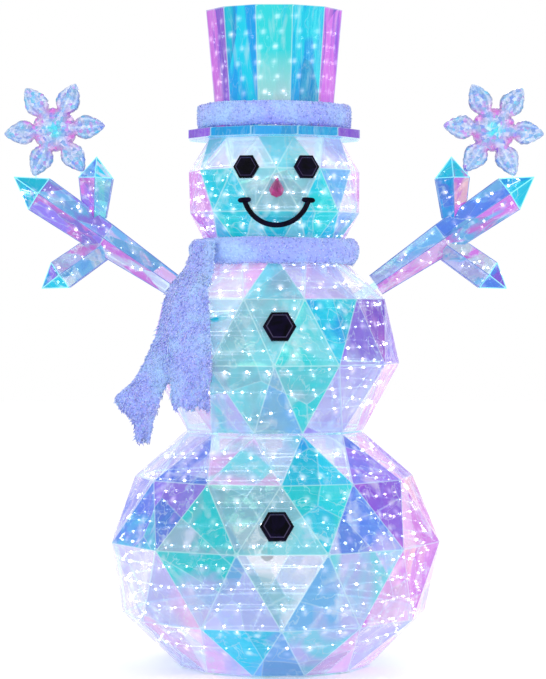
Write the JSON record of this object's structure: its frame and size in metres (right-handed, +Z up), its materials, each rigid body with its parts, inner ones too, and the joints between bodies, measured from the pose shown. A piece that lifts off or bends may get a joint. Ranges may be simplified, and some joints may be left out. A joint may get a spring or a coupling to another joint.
{
  "type": "lighted yard snowman",
  "caption": "Standing snowman of faceted clear film on wire cages with strings of lights, a film top hat, crystal arms, moulded snowflakes and a plush scarf.",
  "frame": {"origin": "on the ground, on the upright axis of the balls", "axes": "+Z up, -Y towards the front of the figure, +X towards the right of someone who faces it"},
  "size_m": [1.2638, 0.764, 1.524],
  "materials": {
    "film": "clear film with a blue, cyan and violet shimmer",
    "hat_film": "clear film with a cyan and violet shimmer",
    "wire": "white coated wire",
    "cord": "clear cord with small white lights",
    "snowflake": "clear moulded plastic",
    "gem": "glossy black",
    "nose": "crimson with a shimmer",
    "plush": "pale blue plush",
    "white_plastic": "white moulded plastic",
    "inlet": "black"
  },
  "bodies": {
    "base": {"base_frame": "wire", "base_film": "film", "base_light_string": "cord", "base_coupler": "white_plastic", "power_inlet": "inlet", "power_inlet_nut": "white_plastic", "foot_front_right": "white_plastic", "foot_back_right": "white_plastic", "foot_back_left": "white_plastic", "foot_front_left": "white_plastic", "lower_button": "gem"},
    "torso": {"torso_frame": "wire", "torso_film": "film", "torso_light_string": "cord", "torso_plug": "white_plastic", "torso_coupler": "white_plastic", "upper_button": "gem", "scarf_wrap": "plush", "scarf_tail_front": "plush", "scarf_tail_rear": "plush"},
    "head": {"head_frame": "wire", "head_film": "film", "head_light_string": "cord", "head_plug": "white_plastic", "head_coupler": "white_plastic", "left_eye": "gem", "right_eye": "gem", "nose": "nose", "mouth": "gem"},
    "hat": {"hat_frame": "wire", "hat_brim_film": "hat_film", "hat_crown_film": "hat_film", "hat_band": "plush", "hat_light_string": "cord", "hat_plug": "white_plastic"},
    "left_arm": {"left_arm_frame": "wire", "left_arm_light_string": "cord", "left_forearm_film": "film", "left_thumb_film": "film", "left_finger_film": "film"},
    "right_arm": {"right_arm_frame": "wire", "right_arm_light_string": "cord", "right_forearm_film": "film", "right_thumb_film": "film", "right_finger_film": "film"},
    "left_flake": {"left_snowflake": "snowflake"},
    "right_flake": {"right_snowflake": "snowflake"}
  },
  "joints": [
    {"name": "torso_lift", "type": "slide", "parent": "base", "child": "torso", "axis": [0, 0, 1], "range_m": [0, 0.06]},
    {"name": "head_lift", "type": "slide", "parent": "torso", "child": "head", "axis": [0, 0, 1], "range_m": [0, 0.05]},
    {"name": "hat_lift", "type": "slide", "parent": "head", "child": "hat", "axis": [0, 0, 1], "range_m": [0, 0.05]},
    {"name": "left_arm_pull", "type": "slide", "parent": "torso", "child": "left_arm", "axis": [-0.8261, 0, 0.5635], "range_m": [0, 0.09]},
    {"name": "right_arm_pull", "type": "slide", "parent": "torso", "child": "right_arm", "axis": [0.8261, 0, 0.5635], "range_m": [0, 0.09]},
    {"name": "left_flake_tilt", "type": "hinge", "parent": "left_arm", "child": "left_flake", "pos_m": [-0.50592, 0, 1.15669], "axis": [0.9962, 0, 0.0872], "range_deg": [-35, 35]},
    {"name": "right_flake_tilt", "type": "hinge", "parent": "right_arm", "child": "right_flake", "pos_m": [0.50592, 0, 1.15669], "axis": [0.9962, 0, -0.0872], "range_deg": [-35, 35]}
  ]
}
